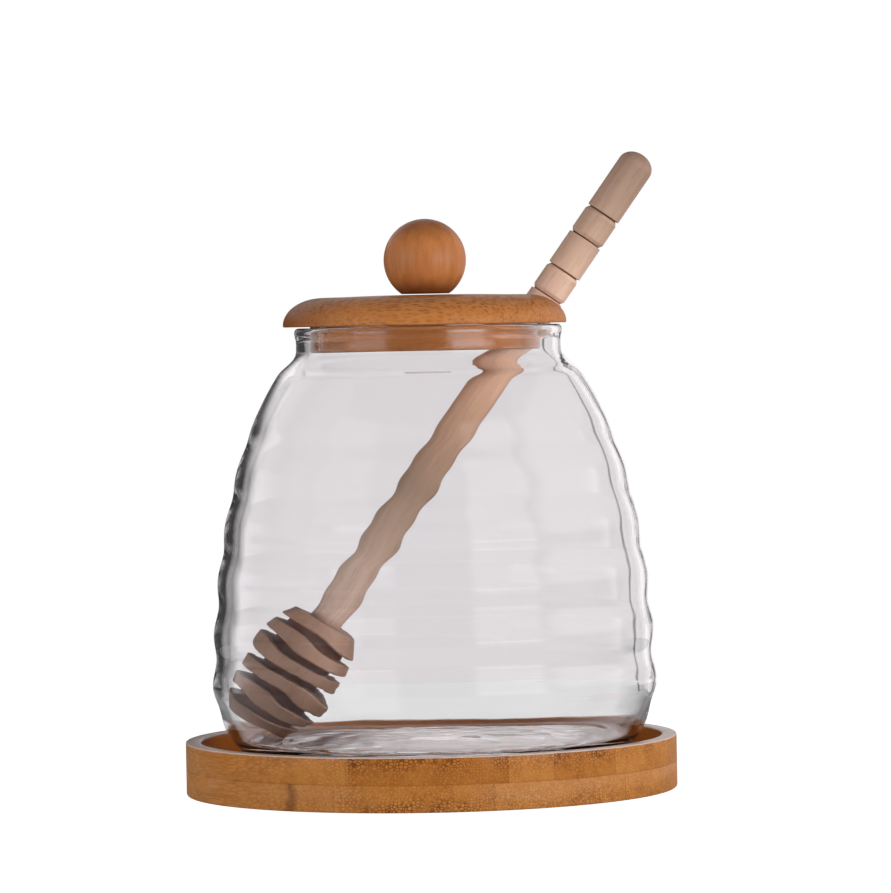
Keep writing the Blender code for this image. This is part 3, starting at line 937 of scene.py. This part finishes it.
def notch_cutter():
    """The dipper's notch: a slot with a round inner end, open at the lid's right edge."""
    low, high = PLUG_BOTTOM - CUT_MARGIN, LID_TOP + CUT_MARGIN
    reach = LID_RADIUS + 2 * CUT_MARGIN
    half_turn = [radians(90 + 180 * i / NOTCH_SIDES) for i in range(NOTCH_SIDES + 1)]
    outline = [(NOTCH_END_X + NOTCH_HALF_WIDTH * cos(a), NOTCH_HALF_WIDTH * sin(a)) for a in half_turn]
    outline += [(NOTCH_END_X + reach, -NOTCH_HALF_WIDTH), (NOTCH_END_X + reach, NOTCH_HALF_WIDTH)]
    shape = bmesh.new()
    face = shape.faces.new([shape.verts.new((x, y, low)) for x, y in outline])
    lifted = bmesh.ops.extrude_face_region(shape, geom=[face])["geom"]
    corners = [item for item in lifted if isinstance(item, bmesh.types.BMVert)]
    bmesh.ops.translate(shape, verts=corners, vec=(0.0, 0.0, high - low))
    bmesh.ops.recalc_face_normals(shape, faces=shape.faces)
    mesh = bpy.data.meshes.new("notch")
    shape.to_mesh(mesh)
    shape.free()
    cutter = bpy.data.objects.new("notch", mesh)
    bpy.context.scene.collection.objects.link(cutter)
    return cutter


def make_lid(tree, material):
    flat = LID_RADIUS - LID_ROUND_WIDTH
    profile = [(r, LID_TOP - LID_CROWN_FALL * ease((r - KNOB_RADIUS) / (flat - KNOB_RADIUS)))
               for r in spread(0.0, flat, 14)[:-1]]
    middle = (flat, LID_TOP - LID_CROWN_FALL - LID_ROUND_HEIGHT)
    profile += arc(middle, (LID_ROUND_WIDTH, LID_ROUND_HEIGHT), 90, 0, 30)
    middle = (LID_RADIUS - LID_LOWER_EDGE, LID_BOTTOM + LID_LOWER_EDGE)
    profile += round_arc(middle, LID_LOWER_EDGE, -20, -90, 5)
    profile += [(PLUG_RADIUS, LID_BOTTOM), (PLUG_RADIUS, PLUG_BOTTOM + PLUG_EDGE)]
    profile += round_arc((PLUG_RADIUS - PLUG_EDGE, PLUG_BOTTOM + PLUG_EDGE), PLUG_EDGE, -15, -90, 5)
    profile += [(r, PLUG_BOTTOM) for r in spread(PLUG_RADIUS - 2 * PLUG_EDGE, 0.0, 8)]
    mesh = turned_mesh(profile, tree, material, LID_SIDES)
    mesh.transform(Matrix.Translation((LID_X, 0.0, 0.0)))
    face_outwards(mesh)
    blank = bpy.data.objects.new("blank", mesh)
    bpy.context.scene.collection.objects.link(blank)
    cutter = notch_cutter()
    cut = blank.modifiers.new("Notch", "BOOLEAN")
    cut.solver = "EXACT"
    cut.object = cutter
    bpy.context.view_layer.update()
    mesh = bpy.data.meshes.new_from_object(blank.evaluated_get(bpy.context.evaluated_depsgraph_get()))
    bpy.data.objects.remove(blank)
    bpy.data.objects.remove(cutter)
    return finished_piece("bamboo_lid", mesh, Matrix.Identity(4), "lid")


def make_knob(tree, material):
    centre = KNOB_BOTTOM + KNOB_FLAT_DROP
    flat_radius = sqrt(KNOB_RADIUS**2 - KNOB_FLAT_DROP**2)
    profile = [(0.0, centre + KNOB_RADIUS)]
    profile += round_arc((0.0, centre), KNOB_RADIUS, *KNOB_ARC, 56)
    profile += [(flat_radius, KNOB_BOTTOM), (flat_radius / 2, KNOB_BOTTOM), (0.0, KNOB_BOTTOM)]
    mesh = turned_mesh(profile, tree, material, KNOB_SIDES)
    return finished_piece("wood_knob", mesh, Matrix.Translation((KNOB_X, 0.0, 0.0)), "knob")


def grip_profile():
    """The turned grip, as radius against distance from the tip: long plain cuffs and short chamfered ones
    by turns, with a narrow groove after each."""
    quarter = spread(0.0, pi / 2, 14)
    points = [(GRIP_RADIUS * sin(a), TIP_DOME * (1 - cos(a))) for a in quarter]
    along = 0.0
    for number, length in enumerate(GRIP_CUFFS):
        chamfered = number % 2 == 1
        lead = GRIP_CHAMFER if chamfered else CUFF_EDGE
        low = GRIP_RADIUS - (GRIP_CHAMFER_DEPTH if chamfered else CUFF_EDGE)
        if number:
            points += [(low, along), (GRIP_RADIUS, along + lead)]
        points += [(GRIP_RADIUS, along + length - lead), (low, along + length)]
        along += length
        points += [(GRIP_GROOVE_RADIUS, along + GRIP_GROOVE_CORNER)]
        points += [(GRIP_GROOVE_RADIUS, along + GRIP_GROOVE - GRIP_GROOVE_CORNER)]
        along += GRIP_GROOVE
    points += [(STEM_RADIUS - CUFF_EDGE, along), (STEM_RADIUS, along + CUFF_EDGE)]
    return points + [(STEM_RADIUS, z) for z in spread(along + 4 * MM, HEAD_START - 1 * MM, 12)]


def head_profile():
    """The grooved head, whose discs follow one barrel shape, with rounded edges and groove roots."""
    points = []
    pitch = (DIPPER_LENGTH - HEAD_START - DISC_THICKNESS) / (DISC_COUNT - 1)
    for number in range(DISC_COUNT):
        start = HEAD_START + number * pitch
        stop = start + DISC_THICKNESS
        last = number == DISC_COUNT - 1
        shares = [(along - HEAD_MIDDLE) / HEAD_HALF_LENGTH for along in (start, stop)]
        near, far = (HEAD_RADIUS * sqrt(1 - share * share) for share in shares)
        root = STEM_RADIUS if number == 0 else HEAD_CORE_RADIUS
        points += [(root, start)]
        points += round_arc((near - DISC_EDGE, start + DISC_EDGE), DISC_EDGE, -90, 0, EDGE_POINTS)
        points += round_arc((far - DISC_EDGE, stop - DISC_EDGE), DISC_EDGE, 0, 90, EDGE_POINTS)
        if not last:
            points += [(HEAD_CORE_RADIUS + DISC_ROOT_CORNER, stop)]
            points += [(HEAD_CORE_RADIUS, stop + DISC_ROOT_CORNER)]
    dome = [(far * share, DIPPER_LENGTH - END_DOME * share**4) for share in (0.85, 0.6, 0.3, 0.0)]
    return points + dome


def make_dipper(tree, material):
    down = grip_profile() + head_profile()
    mesh = turned_mesh([(radius, -along) for radius, along in down], tree, material, DIPPER_SIDES)
    place = Matrix.Translation(DIPPER_TIP) @ Matrix.Rotation(DIPPER_LEAN, 4, "Y")
    return finished_piece("wood_dipper", mesh, place, "dipper", DIPPER_SHARP_ANGLE)


# Studio


def make_floor():
    """A round pale floor that reads as plain white round the object."""
    material, tree, shader = new_material("pale_floor")
    path = add_node(tree, "ShaderNodeLightPath").outputs
    polished, mirrored = polished_rays(tree, path)
    strength = mixed_values(tree, polished, FLOOR_LIGHT, FLOOR_THROUGH_GLASS)
    strength = mixed_values(tree, mirrored, strength, FLOOR_MIRRORED)
    strength = mixed_values(tree, path["Is Camera Ray"], strength, 1.0)
    feed(tree, shader, {
        "Base Color": (0.35, 0.35, 0.35, 1.0),
        "Roughness": 0.9,
        "Specular IOR Level": 0.1,
        "Emission Color": WHITE,
        "Emission Strength": strength,
    })
    shape = bmesh.new()
    bmesh.ops.create_circle(shape, cap_ends=True, segments=96, radius=FLOOR_RADIUS)
    mesh = bpy.data.meshes.new("pale_floor")
    shape.to_mesh(mesh)
    shape.free()
    mesh.materials.append(material)
    floor = bpy.data.objects.new("pale_floor", mesh)
    bpy.context.scene.collection.objects.link(floor)
    floor.location.z = -FLOOR_DROP


def polished_rays(tree, path):
    """1 for rays that leave the object through glass or off a polished face, and 1 for those of them that
    were mirrored on the way, else 0."""
    straight = maths(tree, "LESS_THAN", path["Diffuse Depth"], 0.5)
    polished = maths(tree, "MULTIPLY", path["Is Glossy Ray"], straight)
    turned_back = maths(tree, "GREATER_THAN", path["Glossy Depth"], 0.5)
    return polished, maths(tree, "MULTIPLY", polished, turned_back)


def angle_window(tree, value, low, high, soft):
    """1 between two angles in degrees and 0 outside them, with soft edges."""
    rise = eased(tree, value, radians(low - soft), radians(low + soft))
    fall = eased(tree, value, radians(high - soft), radians(high + soft), 1.0, 0.0)
    return maths(tree, "MULTIPLY", rise, fall)


def add_cards(tree, level, azimuth, elevation, cards):
    """The light level, with each card's own light where the card is."""
    for card in cards:
        shape = angle_window(tree, azimuth, *card.azimuth)
        if card.elevation:
            shape = maths(tree, "MULTIPLY", shape, angle_window(tree, elevation, *card.elevation))
        level = mixed_values(tree, shape, level, card.light)
    return level


def make_world():
    """White to the camera. The wood is lit by two soft panels in a dim room, and the glass shows and mirrors
    a plain backdrop, with dark cards and two lamps round the object."""
    world = bpy.data.worlds.new("studio")
    bpy.context.scene.world = world
    world.use_nodes = True
    tree = world.node_tree
    background = tree.nodes["Background"]
    direction = add_node(tree, "ShaderNodeTexCoord").outputs["Generated"]
    axes = add_node(tree, "ShaderNodeSeparateXYZ", {0: direction}).outputs
    azimuth = maths(tree, "ARCTAN2", axes["X"], axes["Y"])
    elevation = maths(tree, "ARCSINE", axes["Z"])

    lit = eased(tree, elevation, radians(10), radians(60), ROOM_LIGHT, HIGH_ROOM_LIGHT)
    lit = add_cards(tree, lit, azimuth, elevation, ROOM_CARDS)

    through = eased(tree, elevation, radians(-40), radians(60), LOW_BACKDROP, HIGH_BACKDROP)
    through = add_cards(tree, through, azimuth, elevation, BACKDROP_CARDS)

    mirror = add_cards(tree, MIRRORED_ROOM, azimuth, elevation, MIRRORED_BACKDROP)
    dimming = eased(tree, elevation, radians(20), radians(60), 1.0, HIGH_MIRRORED_SHARE)
    mirror = maths(tree, "MULTIPLY", mirror, dimming)
    mirror = add_cards(tree, mirror, azimuth, elevation, MIRRORED_CARDS)

    left = maths(tree, "MULTIPLY", angle_window(tree, azimuth, *LEFT_LAMP), LEFT_LAMP_SHARE)
    lamps = maths(tree, "ADD", angle_window(tree, azimuth, *RIGHT_LAMP), left)
    glow = maths(tree, "MULTIPLY", lamps, angle_window(tree, elevation, *LAMP_GLOW_HEIGHT))
    core = maths(tree, "MULTIPLY", lamps, angle_window(tree, elevation, *LAMP_CORE_HEIGHT))
    mirror = maths(tree, "MULTIPLY_ADD", glow, LAMP_GLOW, mirror)
    mirror = maths(tree, "MULTIPLY_ADD", core, LAMP_CORE, mirror)

    path = add_node(tree, "ShaderNodeLightPath").outputs
    polished, mirrored = polished_rays(tree, path)
    strength = mixed_values(tree, polished, lit, through)
    strength = mixed_values(tree, mirrored, strength, mirror)
    strength = mixed_values(tree, path["Is Camera Ray"], strength, 1.0)
    feed(tree, background, {"Color": mixed(tree, polished, WHITE, BACKDROP_TINT), "Strength": strength})


def make_camera():
    forward = Vector((0.0, cos(CAMERA_PITCH), -sin(CAMERA_PITCH)))
    upward = Vector((0.0, sin(CAMERA_PITCH), cos(CAMERA_PITCH)))
    rightward = Vector((1.0, 0.0, 0.0))
    across = cos(CAMERA_ROLL) * rightward - sin(CAMERA_ROLL) * upward
    above = sin(CAMERA_ROLL) * rightward + cos(CAMERA_ROLL) * upward
    turn = Matrix((across, above, -forward)).transposed().to_4x4()
    data = bpy.data.cameras.new("camera")
    data.sensor_width = SENSOR_WIDTH
    data.lens = FOCAL_PIXELS * SENSOR_WIDTH / PHOTO_LONG_SIDE
    data.clip_end = 100.0
    camera = bpy.data.objects.new("camera", data)
    bpy.context.scene.collection.objects.link(camera)
    camera.matrix_world = Matrix.Translation(EYE) @ turn
    bpy.context.scene.camera = camera


def set_view():
    scene = bpy.context.scene
    scene.view_settings.view_transform = "Standard"
    scene.cycles.use_denoising = True
    scene.cycles.max_bounces = 40
    scene.cycles.transmission_bounces = 32
    scene.cycles.glossy_bounces = 32
    scene.cycles.caustics_refractive = True
    scene.cycles.caustics_reflective = False
    scene.cycles.blur_glossy = 0.3


def main():
    turning = turning_tree()
    make_tray(turning, bamboo("tray_bamboo", TRAY_BOARD))
    make_jar(ribbed_glass_tree(), clear_glass())
    make_lid(turning, bamboo("lid_bamboo", LID_BOARD))
    make_knob(turning, stained_ball_wood())
    make_dipper(turning, pale_turned_wood())
    make_floor()
    make_world()
    make_camera()
    set_view()


main()
